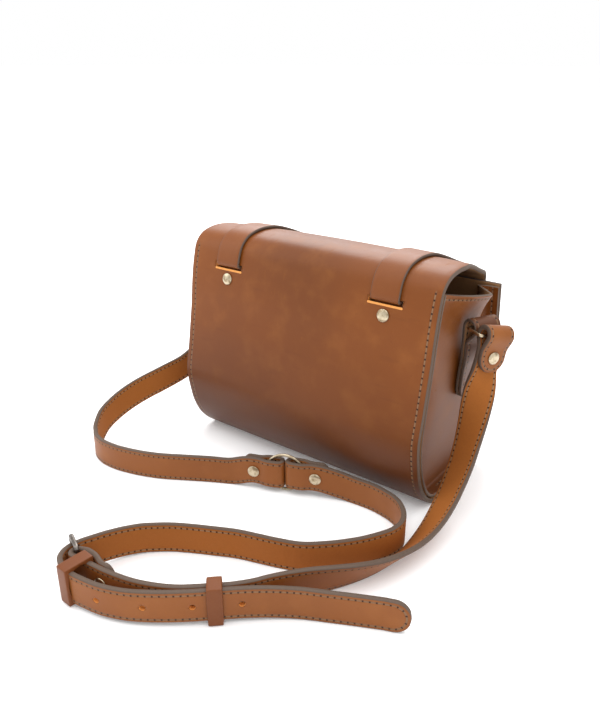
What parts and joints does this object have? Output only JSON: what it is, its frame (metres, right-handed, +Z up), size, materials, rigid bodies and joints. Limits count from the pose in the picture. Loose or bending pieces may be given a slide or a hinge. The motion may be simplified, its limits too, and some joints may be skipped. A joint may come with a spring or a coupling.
{
  "type": "leather shoulder bag",
  "caption": "Small flap satchel with round base corners, gusseted sides, belts over the flap and a long buckled shoulder strap laid on the floor.",
  "frame": {"origin": "centre of the bag's flat base, on the floor", "axes": "+X to the bag's right side as seen from its back, +Y from the back panel to the flap's front, +Z up"},
  "size_m": [0.2928, 0.2997, 0.1618],
  "materials": {
    "tan_leather": "smooth vegetable-tanned, soft sheen",
    "belt_leather": "smooth vegetable-tanned, redder",
    "tab_leather": "smooth vegetable-tanned, in shade darker",
    "strap_leather": "smooth vegetable-tanned, orange tan",
    "antique_brass": "antique, satin",
    "dark_nickel": "dark, satin"
  },
  "bodies": {
    "root": {"body_wrap": "tan_leather", "gusset_right": "tan_leather", "gusset_left": "tan_leather", "closure_belt_right": "belt_leather", "closure_belt_left": "belt_leather", "back_rivet_right": "antique_brass", "back_rivet_left": "antique_brass", "closure_stud_right": "antique_brass", "closure_stud_left": "antique_brass", "ring_tab_right": "tab_leather", "ring_tab_left": "tab_leather", "side_ring_right": "antique_brass", "side_ring_left": "antique_brass", "strap_left": "strap_leather", "strap_adjust": "strap_leather", "strap_buckle": "strap_leather", "middle_ring": "antique_brass", "strap_rivet_middle_left": "antique_brass", "strap_rivet_middle_right": "antique_brass", "strap_rivet_end_left": "antique_brass", "strap_rivet_end_right": "antique_brass", "strap_rivet_buckle": "antique_brass", "buckle_frame": "dark_nickel", "buckle_prong": "dark_nickel", "keeper_fixed": "belt_leather", "keeper_sliding": "belt_leather"}
  },
  "joints": []
}
